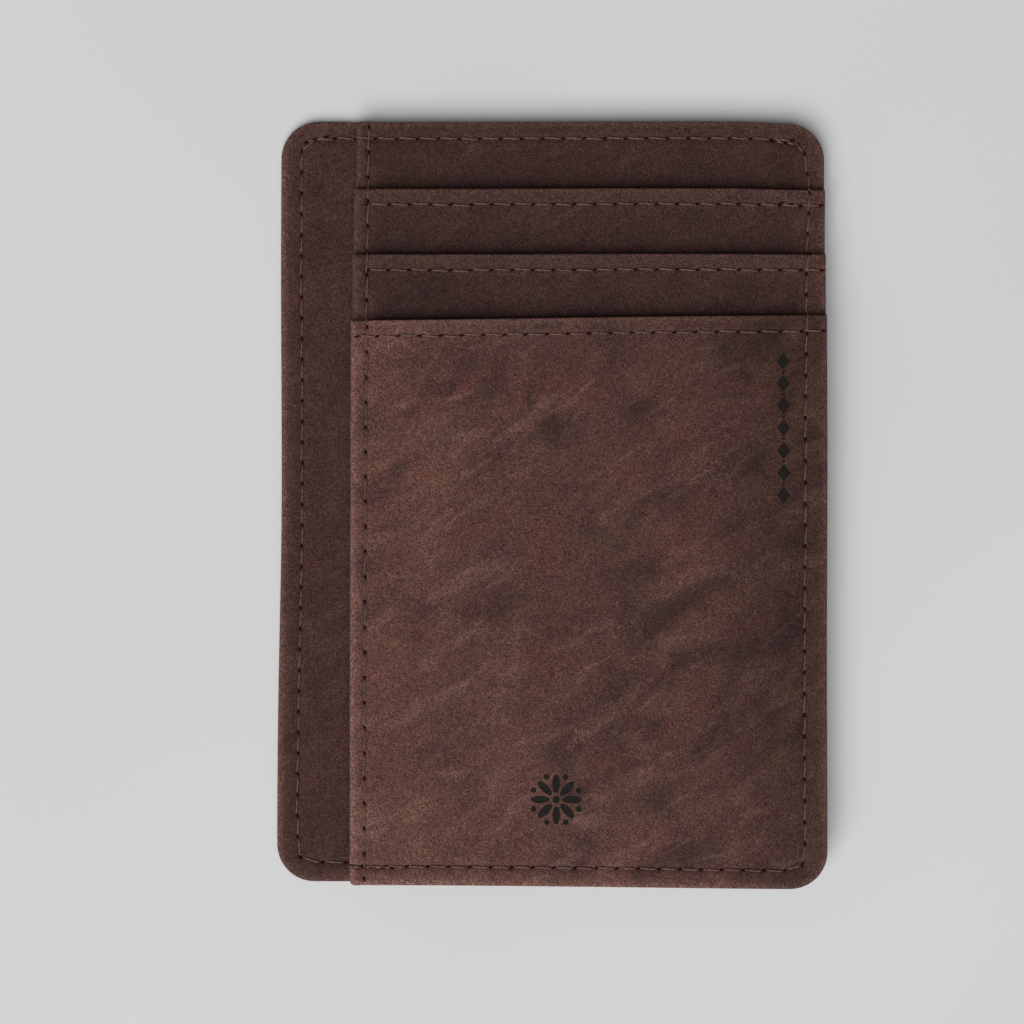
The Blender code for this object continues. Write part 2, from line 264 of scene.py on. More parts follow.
class Panel:
    """A leather sheet in millimetres: a rectangle with rounded corners (lower left, lower right,
    upper right, upper left), an upper and a lower face, and full round edges. The next layer hides
    it below y = covered, or right of x = bare_right. Along its left edge it is folded under, down
    to fold_low, over fold_width. It swells by pillow between its seams, and by lip at its mouth. A
    flat one has no relief."""

    def __init__(
        self, node, radii, seams=(), covered=None, bare_right=None, hem=False, fold_low=None,
        fold_width=0.0, pillow=0.0, lip=0.0, seed=0, plate_low=None, flat=False,
    ):
        (self.left, self.bottom, low), (self.right, self.top, high) = box_mm(node)
        self.radii, self.hem, self.seed, self.flat = radii, hem, seed, flat
        self.plate_high = high - (HEM_RISE if hem else 0.0)
        self.plate_low = low if plate_low is None else plate_low
        self.fold_low, self.fold_width = fold_low, fold_width
        self.covered, self.bare_right = covered, bare_right
        self.pillow, self.lip = pillow, lip
        self.hem_pull = 0.26 if pillow else 0.6  # how pale bending has left the hem
        self.seams = [SEAMS[name] for name in seams]

    def inside(self, x, y):
        """Distance in from the outline, below zero outside it."""
        depth = np.minimum(
            np.minimum(x - self.left, self.right - x), np.minimum(y - self.bottom, self.top - y)
        )
        for (corner_x, corner_y, into_x, into_y), radius in zip(self.corners(), self.radii):
            if radius:
                u = radius - (x - corner_x) * into_x
                v = radius - (y - corner_y) * into_y
                depth = np.where((u > 0) & (v > 0), radius - np.hypot(u, v), depth)
        return depth

    def corners(self):
        """Each corner, and the signs of the directions that lead into the sheet."""
        return (
            (self.left, self.bottom, 1, 1), (self.right, self.bottom, -1, 1),
            (self.right, self.top, -1, -1), (self.left, self.top, 1, -1),
        )

    def bare(self, x, y):
        """1 where nothing lies on the panel, 0 under the next layer."""
        shown = np.ones_like(x)
        if self.covered is not None:
            shown = smooth((y - self.covered) / COVERED_STEP)
        if self.bare_right is not None:
            shown = smooth((self.bare_right - x) / COVERED_STEP)
        return shown

    def swell(self, x, y):
        """How far the sheet stands up between its seams, and most of all at its mouth."""
        rise = self.pillow * smooth((self.inside(x, y) - 3.4) / 13)
        between = np.clip((x + 27) / 64, 0, 1)
        return rise + self.lip * np.sin(math.pi * between) ** 0.7 * smooth((y - self.top + 10) / 10)

    def upper(self, x, y):
        z = np.full_like(x, self.plate_high)
        if self.flat:
            return z
        depth = self.inside(x, y)
        shown = self.bare(x, y)
        if self.hem:
            z += HEM_RISE * smooth((y - (self.top - HEM_WIDTH)) / 0.8)
        rim = np.sin(math.pi * np.clip(depth / RIM_WIDTH, 0, 1))
        z += shown * (0.09 * rim + waves(x, y, self.seed, 0.04, 26) * smooth(depth / 4))
        z += self.swell(x, y)
        if self.fold_low is not None:
            z += shown * 0.12 * np.sin(math.pi * np.clip((x - self.left) / 2.2, 0, 1))
        for seam in self.seams:
            z -= shown * (SEAM_GROOVE * seam.groove(x, y) + HOLE_DEPTH * seam.dimples(x, y))
        return z

    def lower(self, x, y):
        z = np.full_like(x, self.plate_low)
        if self.fold_low is not None:
            inwards = smooth((x - self.left - self.fold_width) / FOLD_BLEND)
            z = self.fold_low + (self.plate_low - self.fold_low) * inwards
        return z + 0.9 * self.swell(x, y)

    def faces_at(self, x, y):
        """Upper and lower height, rounded off at the edge, where the two meet."""
        high, low = self.upper(x, y), self.lower(x, y)
        radius = (high - low) / 2
        t = 1 - np.clip(self.inside(x, y) / radius, 0, 1)
        drop = radius * (1 - np.sqrt(np.clip(1 - t * t, 0, 1)))
        return high - drop, low + drop

    # where needle holes lie; the leather shader paints shade there
    def hole_marks(self, x, y):
        marks = np.zeros_like(x)
        for seam in self.seams:
            marks = np.maximum(marks, seam.dimples(x, y))
        return marks * self.bare(x, y)

    def pull_and_highlight_marks(self, x, y):
        """Where waxed leather is bent and shows lighter: edges, folds and hems. The pale ridge along a
        fold is partly a painted highlight, on its lit left flank.
        """
        depth = self.inside(x, y)
        marks = np.exp(-((depth / 0.8) ** 2)) + 0.1 * np.exp(-((depth / 2.6) ** 2))
        if self.hem:
            marks = np.maximum(marks, self.hem_pull * smooth((y - self.top + 2.7) / 2.3))
        if self.fold_low is not None:
            # the fold's pale ridge: partly pull-up, partly a painted highlight on its lit left flank
            ridge = np.exp(-(((x - self.left - FOLD_RIDGE) / 0.45) ** 2))
            marks = np.where(x < self.left + 1.9, np.maximum(marks, 0.16 + 0.38 * ridge), marks)
        return np.clip(marks, 0, 1)

    def painted_light_marks(self, x, y):
        """Painted light and shade, as a factor on the leather's colour: painted shade beside the mouth
        of the next slot, where its lip shades the leather; a painted highlight along the left rim of
        the strip that shows beside the stack; and on the front, the one panel with a pillow, painted
        light that fades to the right and towards the mouth, as if lit from the lower left."""
        painted_light = np.ones_like(x)
        # painted shade beside the next slot's mouth, where its lip shades the leather
        if self.covered is not None:
            between = smooth((x + 27) / 2.5) * smooth((38 - x) / 3.5)
            gap = np.maximum(y - self.covered, 0)
            painted_light -= SHELTER_SHADE * between * np.exp(-gap / SHELTER_REACH)
        # painted highlight along the left rim of the strip, on the side the light comes from
        if self.bare_right is not None:
            painted_light += 0.45 * np.exp(-(((x - self.left) / 0.9) ** 2))
        # painted light on the front: lighter to the left and low down, darker to the right and towards
        # the mouth, with a faint painted highlight along its right rim
        if self.pillow:
            painted_light = 1.02 - 0.0045 * x - 0.27 * smooth((x - 20) / 14) + 0.08 * smooth((-10 - x) / 12)
            painted_light += 0.12 * smooth((-30 - y) / 16) - 0.1 * smooth((y - 12) / 12) * smooth((x + 8) / 12)
            painted_light += 0.04 * smooth((x - 37) / 2) - 0.05 * smooth((y - 22) / 3)
        return painted_light


LINES_ALONG_HOLE = (-0.35, 0.0, 0.35)
LINES_ACROSS_HOLE = (-0.4, -0.2, 0.0, 0.2, 0.4)
LEAST_GAP = 0.18  # lines nearer than this to the one before are left out
OPEN_STEP = 1.0  # needle holes get their own lines only where the spacing is finer than this


def rim_lines(width):
    """Distances in from an edge that follow its rounding."""
    return [width * (1 - math.cos(math.radians(15 * i))) for i in range(7)]


def grid_lines(low, high, rim_low, rim_high, holes, spans):
    """Line positions across a panel. spans are (from, to, step): the widest spacing there. holes
    are pairs: where a needle hole lies, and whether its long side lies across the lines."""
    fixed = {low + d for d in rim_lines(rim_low)} | {high - d for d in rim_lines(rim_high)}
    inner_low, inner_high = low + rim_low, high - rim_high
    fine = [s for s in spans if s[2] < OPEN_STEP]
    for hole, lengthwise in holes:
        offsets = LINES_ALONG_HOLE if lengthwise else LINES_ACROSS_HOLE
        if any(s[0] <= hole <= s[1] for s in fine):
            fixed |= {hole + d for d in offsets if inner_low < hole + d < inner_high}
    merged = []
    for position in sorted(fixed):
        near_edge = position <= inner_low or position >= inner_high
        if merged and not near_edge and position - merged[-1] < LEAST_GAP:
            continue
        merged.append(position)
    lines = [merged[0]]
    for position in merged[1:]:
        start = lines[-1]
        middle = (start + position) / 2
        step = min([s[2] for s in spans if s[0] <= middle <= s[1]] or [2.0])
        count = max(1, math.ceil((position - start) / step - 1e-6))
        lines += [start + (position - start) * i / count for i in range(1, count + 1)]
    return np.array(lines)


def round_corners(panel, x, y):
    """Moves the grid of a rectangle so that its corners become quarter circles."""
    x, y = x.copy(), y.copy()
    for (corner_x, corner_y, into_x, into_y), radius in zip(panel.corners(), panel.radii):
        if not radius:
            continue
        u = (radius - (x - corner_x) * into_x) / radius
        v = (radius - (y - corner_y) * into_y) / radius
        here = (u > 1e-9) & (v > 1e-9)
        far, near = np.maximum(u, v)[here], np.minimum(u, v)[here]
        angle = math.pi / 4 * near / far
        along_x = np.where(u[here] >= v[here], np.cos(angle), np.sin(angle)) * far
        along_y = np.where(u[here] >= v[here], np.sin(angle), np.cos(angle)) * far
        x[here] = corner_x + into_x * radius * (1 - along_x)
        y[here] = corner_y + into_y * radius * (1 - along_y)
    return x, y


def mesh_object(name, points, faces, skin, attributes=None):
    mesh = bpy.data.meshes.new(name)
    mesh.from_pydata(to_world(points), [], faces)
    mesh.materials.append(skin)
    for key, values in (attributes or {}).items():
        layer = mesh.attributes.new(key, "FLOAT", "POINT")
        layer.data.foreach_set("value", np.asarray(values, np.float32))
    mesh.update()
    mesh.shade_smooth()
    made = bpy.data.objects.new(name, mesh)
    bpy.context.scene.collection.objects.link(made)
    return made


def panel_object(name, panel, skin, x_spans, y_spans, rims):
    """The closed mesh of a panel: an upper and a lower grid that share their outline."""
    holes = [
        (hole, abs(along[0]) > abs(along[1])) for seam in panel.seams
        for hole, along in zip(seam.holes, seam.along) if panel.inside(*hole) > 0
    ]
    x_holes = [(hole[0], lengthwise) for hole, lengthwise in holes]
    y_holes = [(hole[1], not lengthwise) for hole, lengthwise in holes]
    xs = grid_lines(panel.left, panel.right, rims[0], rims[1], x_holes, x_spans)
    ys = grid_lines(panel.bottom, panel.top, rims[2], rims[3], y_holes, y_spans)
    x, y = np.meshgrid(xs, ys)
    x, y = round_corners(panel, x, y)
    high, low = panel.faces_at(x, y)
    rows, columns = x.shape
    outline = np.zeros(x.shape, bool)
    outline[[0, -1], :] = outline[:, [0, -1]] = True
    upper_index = np.arange(x.size).reshape(x.shape)
    lower_index = upper_index.copy()
    lower_index[~outline] = x.size + np.arange((~outline).sum())
    points = np.concatenate((
        np.stack((x, y, high), -1).reshape(-1, 3),
        np.stack((x, y, low), -1)[~outline],
    ))
    faces = []
    for index, turn in ((upper_index, 1), (lower_index, -1)):
        quads = np.stack(
            (index[:-1, :-1], index[:-1, 1:], index[1:, 1:], index[1:, :-1]), -1
        ).reshape(-1, 4)
        faces += quads[:, ::turn].tolist()
    below = ~outline
    pull_and_highlight, painted_light = panel.pull_and_highlight_marks(x, y), panel.painted_light_marks(x, y)
    attributes = {
        "hole": np.concatenate((panel.hole_marks(x, y).ravel(), np.zeros(below.sum()))),
        "pull_and_highlight": np.concatenate((pull_and_highlight.ravel(), pull_and_highlight[below])),
        "painted_light": np.concatenate((painted_light.ravel(), np.ones(below.sum()))),
    }
    return mesh_object(name, points, faces, skin, attributes)


# ---------------------------------------------------------------- flat strips, threads


def inward(points):
    """Mitred inward direction at each point of a counter-clockwise outline."""
    before = points - np.roll(points, 1, axis=0)
    after = np.roll(points, -1, axis=0) - points
    before /= np.linalg.norm(before, axis=1)[:, None]
    after /= np.linalg.norm(after, axis=1)[:, None]
    normals = [np.column_stack((-d[:, 1], d[:, 0])) for d in (before, after)]
    middle = normals[0] + normals[1]
    return middle / np.maximum((middle * normals[0]).sum(1), 0.35)[:, None]


def slab_object(name, outline, low, high, skin):
    """A flat strip with a full round edge."""
    points = np.array(outline, float)
    into = inward(points)
    radius = (high - low) / 2
    rings = []
    for step in range(9):
        angle = math.radians(-90 + 22.5 * step)
        inset = radius * (1 - math.cos(angle))
        z = (low + high) / 2 + radius * math.sin(angle)
        flat = points + into * inset
        rings.append(np.column_stack((flat, np.full(len(flat), z))))
    count = len(points)
    faces = [list(range(count))[::-1], list(range(8 * count, 9 * count))]
    for ring in range(8):
        for i in range(count):
            after = (i + 1) % count
            base = ring * count
            faces.append([base + i, base + after, base + count + after, base + count + i])
    values = np.ones(9 * count)
    attributes = {"pull_and_highlight": 0.5 * values, "hole": 0 * values, "painted_light": values}
    return mesh_object(name, np.concatenate(rings), faces, skin, attributes)


def arc(centre_x, centre_y, radius, start, end, steps=10):
    """Points along a circle, from one angle in degrees to another."""
    angles = np.radians(np.linspace(start, end, steps + 1))
    return [(centre_x + radius * math.cos(a), centre_y + radius * math.sin(a)) for a in angles]


STITCH_WANDER = 0.04
STITCH_SLANT = 0.08
DIVE_LENGTH = 0.38
DIVE_DEPTH = 0.42
PLY_BULGE = 0.3
TWISTS = 1.7  # turns of the two plies in one stitch


def stitch_rows(name, seams, height, side, skin):
    """Every stitch of some seams: a two-ply thread from hole to hole. side is 1 on a face that
    looks up, -1 on one that looks down."""
    sides, rings = 10, 17
    rng = np.random.default_rng(len(seams[0].holes))
    t = np.linspace(0, 1, rings)
    turn = np.linspace(0, 2 * math.pi, sides, endpoint=False)
    points, faces, in_hole = [], [], []
    for start, end in [run for seam in seams for run in seam.runs()]:
        run = end - start
        length = np.linalg.norm(run)
        along = run / length
        across = np.array((-along[1], along[0]))
        sway = rng.normal(0, STITCH_WANDER) + STITCH_SLANT * np.cos(math.pi * t)
        flat = start + run * t[:, None] + across * sway[:, None]
        reach = [
            side * height(flat[:, 0] + along[0] * d, flat[:, 1] + along[1] * d)
            for d in (-0.2, 0, 0.2)
        ]
        z = np.max(reach, axis=0)
        z[1:-1] = np.maximum(z[1:-1], (z[:-2] + 2 * z[1:-1] + z[2:]) / 4)
        nearest_end = np.minimum(t, 1 - t) * length
        dive = np.exp(-((nearest_end / DIVE_LENGTH) ** 2))
        z = side * (z + 0.85 * THREAD_RADIUS - DIVE_DEPTH * dive)
        centre = np.column_stack((flat, z))
        tangent = np.gradient(centre, axis=0)
        tangent /= np.linalg.norm(tangent, axis=1)[:, None]
        beside = np.cross(tangent, (0, 0, 1.0))
        beside /= np.linalg.norm(beside, axis=1)[:, None]
        above = np.cross(beside, tangent)
        first = len(points) * rings * sides
        ring_points = []
        for i in range(rings):
            twist = 2 * math.pi * TWISTS * t[i] * length / STITCH_PITCH + rng.uniform(-0.1, 0.1)
            radius = THREAD_RADIUS * (1 + PLY_BULGE * np.cos(2 * (turn - twist)))
            offsets = beside[i] * np.cos(turn)[:, None] + above[i] * np.sin(turn)[:, None]
            ring_points.append(centre[i] + offsets * radius[:, None])
        points.append(np.concatenate(ring_points))
        in_hole.append(np.repeat(dive, sides))
        for ring in range(rings - 1):
            for i in range(sides):
                a, b = first + ring * sides + i, first + ring * sides + (i + 1) % sides
                faces.append([a, b, b + sides, a + sides])
        faces.append([first + i for i in range(sides)][::-1])
        faces.append([first + (rings - 1) * sides + i for i in range(sides)])
    made = mesh_object(name, np.concatenate(points), faces, skin, {"hole": np.concatenate(in_hole)})
    return orient(made)


def orient(made):
    """Turns every face outwards."""
    bm = bmesh.new()
    bm.from_mesh(made.data)
    bmesh.ops.recalc_face_normals(bm, faces=bm.faces)
    bm.to_mesh(made.data)
    bm.free()
    made.data.shade_smooth()
    return made


# ---------------------------------------------------------------- materials


def linear(red, green, blue, light=1.0):
    """Display colour, 0 to 255, as a linear one, divided by the light that falls on it."""
    values = []
    for part in (red, green, blue):
        part /= 255
        values.append((part / 12.92 if part <= 0.04045 else ((part + 0.055) / 1.055) ** 2.4) / light)
    return (*values, 1.0)


class Shader:
    """A node tree with one Principled shader, and short ways to add to it."""

    def __init__(self, name):
        self.material = bpy.data.materials.new(name)
        self.material.use_nodes = True
        self.tree = self.material.node_tree
        self.surface = self.tree.nodes["Principled BSDF"]

    def add(self, kind, inputs=None, **settings):
        node = self.tree.nodes.new(kind)
        for key, value in settings.items():
            setattr(node, key, value)
        for key, value in (inputs or {}).items():
            self.give(node.inputs[key], value)
        return node

    def give(self, socket, value):
        if isinstance(value, bpy.types.NodeSocket):
            self.tree.links.new(value, socket)
        else:
            socket.default_value = value

    def place(self, stretch=(1, 1, 1), turn=0.0, shift=(0, 0, 0)):
        """Object coordinates in millimetres. A pattern on them is stretched, then turned."""
        inputs = {
            "Vector": self.add("ShaderNodeTexCoord").outputs["Object"],
            "Scale": tuple(MM * s for s in stretch),
            "Rotation": (0, 0, turn),
            "Location": tuple(MM * s for s in shift),
        }
        return self.add("ShaderNodeMapping", inputs, vector_type="TEXTURE").outputs["Vector"]

    def noise(self, vector, scale, detail=3.0, roughness=0.5, distortion=0.0):
        inputs = {
            "Vector": vector, "Scale": scale, "Detail": detail,
            "Roughness": roughness, "Distortion": distortion,
        }
        return self.add("ShaderNodeTexNoise", inputs).outputs["Fac"]

    def ramp(self, value, low, high, to_low=0.0, to_high=1.0):
        inputs = {
            "Value": value, "From Min": low, "From Max": high, "To Min": to_low, "To Max": to_high,
        }
        return self.add("ShaderNodeMapRange", inputs, interpolation_type="SMOOTHSTEP").outputs["Result"]

    def maths(self, operation, first, second):
        node = self.add("ShaderNodeMath", operation=operation)
        self.give(node.inputs[0], first)
        self.give(node.inputs[1], second)
        return node.outputs["Value"]

    def mix(self, factor, first, second, blend="MIX"):
        node = self.add("ShaderNodeMix", data_type="RGBA", blend_type=blend)
        self.give(node.inputs["Factor"], factor)
        self.give(node.inputs["A"], first)
        self.give(node.inputs["B"], second)
        return node.outputs["Result"]

    def attribute(self, name):
        return self.add("ShaderNodeAttribute", attribute_name=name).outputs["Fac"]

    def bump(self, height, distance, below=None):
        inputs = {"Height": height, "Distance": distance * MM, "Strength": 1.0}
        node = self.add("ShaderNodeBump", inputs)
        if below is not None:
            self.give(node.inputs["Normal"], below)
        return node.outputs["Normal"]


SCENE_LIGHT = 0.9  # how bright a white sheet shows where the wallet lies
LEATHER_GLOSS = 0.15


def leather(name, level, mottle, shift):
    """Waxed pull-up leather: cloudy smudges, paler strokes where it was bent, a felted fine grain.
    level is how light it is, mottle how strong its patches are, and shift moves them along."""
    shader = Shader(name)
    light = SCENE_LIGHT / level
    dark, body, red = linear(58, 39, 36, light), linear(80, 52, 47, light), linear(85, 51, 45, light)
    warm, pale = linear(92, 63, 53, light), linear(118, 87, 78, light)

    flat = shader.place(shift=shift)
    slanted = shader.place((3.2, 1, 1), math.radians(33), shift)
    clouds = shader.noise(flat, 0.07, 3.0, 0.5, 0.5)
    smudges = shader.noise(shader.place((1.5, 1, 1), math.radians(35), shift), 0.16, 3.0, 0.5, 0.4)
    warmth = shader.noise(shader.place((1.6, 1, 1), math.radians(40), shift), 0.13, 3.0, 0.5, 0.8)
    redness = shader.noise(shader.place((1.3, 1, 1), 0.6, (5, 9, 2)), 0.15, 3.0, 0.55, 0.5)
    strokes = shader.noise(slanted, 0.36, 5.0, 0.62, 0.8)
    grain = shader.noise(flat, 1.5, 3.0, 0.6, 1.5)
    felt = shader.noise(shader.place((2.2, 1, 1), math.radians(-55), shift), 4.6, 2.0, 0.7, 2.2)
    specks = shader.noise(flat, 6.0, 1.0, 0.6, 0.8)

    color = shader.mix(shader.ramp(warmth, 0.46, 0.66, 0.0, 0.75 * mottle), body, warm)
    color = shader.mix(shader.ramp(redness, 0.48, 0.66, 0.0, 0.6 * mottle), color, red)
    dimness = shader.ramp(clouds, 0.36, 0.60)
    dimness = shader.maths("MULTIPLY", shader.ramp(smudges, 0.42, 0.68), dimness)
    color = shader.mix(shader.maths("MULTIPLY", dimness, 0.9 * mottle), color, dark)
    color = shader.mix(shader.ramp(strokes, 0.50, 0.74, 0.0, 0.4 * mottle), color, pale)
    # pale where the leather is bent, with the painted highlight on the folds' ridges
    worn_and_lit = shader.maths("MULTIPLY", shader.attribute("pull_and_highlight"), shader.ramp(grain, 0.3, 0.6, 0.6, 1.0))
    color = shader.mix(shader.maths("MULTIPLY", worn_and_lit, 0.62), color, pale)

    coarse = shader.ramp(grain, 0.36, 0.64, 0.84, 1.16)
    # the painted light and shade of each panel, carried on its mesh, scales its colour
    shade = shader.maths("MULTIPLY", coarse, shader.attribute("painted_light"))
    shade = shader.maths("MULTIPLY", shade, shader.ramp(felt, 0.38, 0.62, 0.62, 1.38))
    shade = shader.maths("MULTIPLY", shade, shader.ramp(specks, 0.36, 0.64, 0.48, 1.52))
    tint = shader.add("ShaderNodeCombineColor", {"Red": shade, "Green": shade, "Blue": shade})
    color = shader.mix(1.0, color, tint.outputs["Color"], "MULTIPLY")
    # painted shade in the needle holes, which also lose their gloss
    hole = shader.ramp(shader.attribute("hole"), 0.28, 0.72)
    color = shader.mix(hole, color, linear(38, 13, 7))
    shader.give(shader.surface.inputs["Base Color"], color)

    rough = shader.ramp(shader.noise(flat, 0.5, 4.0, 0.6), 0.3, 0.7, 0.62, 0.8)
    shader.give(shader.surface.inputs["Roughness"], rough)
    gloss = shader.ramp(hole, 0.0, 1.0, LEATHER_GLOSS, 0.0)
    shader.give(shader.surface.inputs["Specular IOR Level"], gloss)
    wrinkles = shader.bump(strokes, 0.08)
    fine = shader.bump(shader.maths("ADD", felt, specks), 0.05, wrinkles)
    shader.give(shader.surface.inputs["Normal"], fine)
    return shader.material


def burnt_leather(name):
    """The darkened floor of a pressed mark."""
    shader = Shader(name)
    grain = shader.noise(shader.place(), 4.0, 5.0, 0.7)
    color = shader.mix(shader.ramp(grain, 0.35, 0.7), linear(12, 11, 12), linear(34, 27, 26))
    shader.give(shader.surface.inputs["Base Color"], color)
    shader.give(shader.surface.inputs["Roughness"], shader.ramp(grain, 0.3, 0.7, 0.6, 0.75))
    shader.surface.inputs["Specular IOR Level"].default_value = LEATHER_GLOSS
    shader.give(shader.surface.inputs["Normal"], shader.bump(grain, 0.03))
    return shader.material


def sewing_thread(name):
    """Waxed two-ply thread, a little redder and paler than the leather."""
    shader = Shader(name)
    fibres = shader.noise(shader.place((1, 3, 1), math.radians(20)), 14.0, 3.0, 0.6)
    wear = shader.noise(shader.place(), 0.4, 3.0)
    dull, bright = linear(64, 42, 36, SCENE_LIGHT), linear(118, 85, 75, SCENE_LIGHT)
    color = shader.mix(shader.ramp(fibres, 0.3, 0.7), dull, bright)
    color = shader.mix(shader.ramp(wear, 0.4, 0.7, 0.0, 0.5), color, linear(74, 49, 44, SCENE_LIGHT))
    # painted shade where the thread dives into its hole
    color = shader.mix(shader.ramp(shader.attribute("hole"), 0.15, 0.7), color, linear(36, 15, 10))
    shader.give(shader.surface.inputs["Base Color"], color)
    shader.give(shader.surface.inputs["Roughness"], shader.ramp(fibres, 0.3, 0.7, 0.45, 0.7))
    shader.give(shader.surface.inputs["Normal"], shader.bump(fibres, 0.03))
    return shader.material


def woven(name):
    """Plain-woven dark polyester: warp and weft 0.25 mm apart."""
    shader = Shader(name)
    flat = shader.place()
    parts = []
    for direction in ("X", "Y"):
        wave = shader.add("ShaderNodeTexWave", {"Vector": flat, "Scale": 1.27, "Distortion": 0.4})
        wave.bands_direction = direction
        parts.append(wave.outputs["Fac"])
    weave = shader.maths("MAXIMUM", parts[0], parts[1])
    color = shader.mix(weave, linear(24, 20, 19), linear(58, 46, 42))
    shader.give(shader.surface.inputs["Base Color"], color)
    shader.give(shader.surface.inputs["Roughness"], shader.ramp(weave, 0.0, 1.0, 0.9, 0.6))
    shader.give(shader.surface.inputs["Normal"], shader.bump(weave, 0.05))
    return shader.material


def foil(name):
    """Metallised shielding foil with small crumples."""
    shader = Shader(name)
    crumple = shader.noise(shader.place(), 0.5, 4.0, 0.6, 1.0)
    color = shader.mix(shader.ramp(crumple, 0.3, 0.7), linear(150, 152, 156), linear(196, 198, 202))
    shader.give(shader.surface.inputs["Base Color"], color)
    shader.surface.inputs["Metallic"].default_value = 0.85
    shader.give(shader.surface.inputs["Roughness"], shader.ramp(crumple, 0.3, 0.7, 0.3, 0.5))
    shader.give(shader.surface.inputs["Normal"], shader.bump(crumple, 0.1))
    return shader.material


def floor_paint(name):
    """Matte pale grey backdrop."""
    shader = Shader(name)
    cloud = shader.noise(shader.place(), 0.01, 2.0)
    color = shader.mix(shader.ramp(cloud, 0.3, 0.7), linear(212, 212, 212), linear(215, 215, 215))
    shader.give(shader.surface.inputs["Base Color"], color)
    shader.surface.inputs["Roughness"].default_value = 0.9
    return shader.material


# ---------------------------------------------------------------- the wallet's pieces


def piece(made, slot, *nodes):
    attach(made, "root")
    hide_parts(*nodes)
    return made


BACK_GROOVE = 0.26
BACK_DIMPLE = 0.1
DEEPEST = 0.4  # no relief goes further up into the back panel


class BackFace(Panel):
    """The back panel, whose outer side looks down: its seam is pressed into its lower face."""

    def upper(self, x, y):
        return np.full_like(x, self.plate_high)

    def lower(self, x, y):
        z = 0.05 * (1 - smooth(self.inside(x, y) / 5))
        for seam in self.seams:
            z = z + BACK_GROOVE * seam.groove(x, y) + BACK_DIMPLE * seam.dimples(x, y)
        return np.minimum(z, DEEPEST)


def make_panels():
    base_low, _ = box_mm("base_panel")
    fold_right = box_mm("front_lining")[0][0] - GLUE
    everywhere = (CORNER,) * 4
    panels = {
        "back": BackFace("back_panel", everywhere, EDGE_SEAMS),
        "inner": Panel("inner_panel", everywhere, EDGE_SEAMS, bare_right=base_low[0] + 1, seed=5),
        "base": Panel(
            "base_panel", (FOLD_CORNER, CORNER, CORNER, FOLD_CORNER), [*EDGE_SEAMS, "mouth"],
            covered=box_mm("slot_1_panel")[1][1], fold_low=base_low[2],
            fold_width=fold_right - base_low[0] - FOLD_BLEND, seed=8,
            plate_low=box_mm("front_shield")[1][2] + GLUE,
        ),
    }
    for index, name in enumerate(SLOT_NAMES):
        above = SLOT_NAMES[index + 1] if index + 1 < len(SLOT_NAMES) else None
        panels[name] = Panel(
            f"{name}_panel", (FOLD_CORNER, CORNER, 0, 0), [*EDGE_SEAMS, "tack_3", "mouth", name],
            covered=box_mm(f"{above}_panel")[1][1] if above else None, hem=True,
            fold_low=box_mm(f"{name}_margin")[0][2], fold_width=SLOT_FOLD,
            pillow=0.0 if above else 0.3, lip=0.1, seed=11 + index,
        )
    return panels


PANELS = make_panels()


def front_height(x, y):
    """Height of whatever shows on the wallet's front at each point."""
    z = np.full(np.shape(x), -1e3)
    for name in ("inner", "base", *SLOT_NAMES):
        panel = PANELS[name]
        high, _ = panel.faces_at(x, y)
        z = np.where(panel.inside(x, y) >= 0, high, z)
    return z


def back_height(x, y):
    return PANELS["back"].faces_at(x, y)[1]


def fold_under(x, y):
    return PANELS["base"].faces_at(x, y)[1]


def build_leather():
    plain = leather("leather_recessed", 0.62, 0.45, (40, 0, 0))
    strip = leather("leather_inner", 0.64, 0.5, (0, 70, 0))
    front_skin = leather("leather_front", 0.98, 1.0, (0, 0, 0))
    back_skin = leather("leather_back", 0.95, 0.9, (0, 0, 60))
    fine, coarse = 0.6, 2.2
    everywhere, sparse = [(-60, 60, fine)], [(-60, 60, 0.95)]
    piece(
        panel_object("leather_back", PANELS["back"], back_skin, sparse, sparse, (0.3,) * 4),
        "leather", "back_panel",
    )
    strip_right = box_mm("base_panel")[0][0] + 1.5
    piece(
        panel_object(
            "leather_inner", PANELS["inner"], strip,
            [(-60, strip_right, 0.4), (strip_right, 60, coarse)], everywhere, (0.22,) * 4,
        ),
        "leather", "inner_panel",
    )
    for name in ("base", *SLOT_NAMES):
        panel = PANELS[name]
        shown_from = panel.covered - 0.6 if panel.covered is not None else -60
        rows = [(-60, shown_from, coarse), (shown_from, 60, 0.45 if name != "front" else fine)]
        rims = (0.6, 0.22, 0.22, 0.27) if panel.hem else (0.4, 0.22, 0.22, 0.22)
        skin = front_skin if name == "front" else plain
        made = panel_object(f"leather_{name}", panel, skin, everywhere, rows, rims)
        piece(made, "leather", f"{name}_panel")
        if name == "front":
            press_marks(made, panel)


def polygon(centre_x, centre_y, radius_x, radius_y, sides, turn=0.0):
    """Corners of an oval or a lozenge, turned about its centre."""
    points = []
    for i in range(sides):
        angle = 2 * math.pi * i / sides
        x, y = radius_x * math.cos(angle), radius_y * math.sin(angle)
        points.append((
            centre_x + x * math.cos(turn) - y * math.sin(turn),
            centre_y + x * math.sin(turn) + y * math.cos(turn),
        ))
    return points


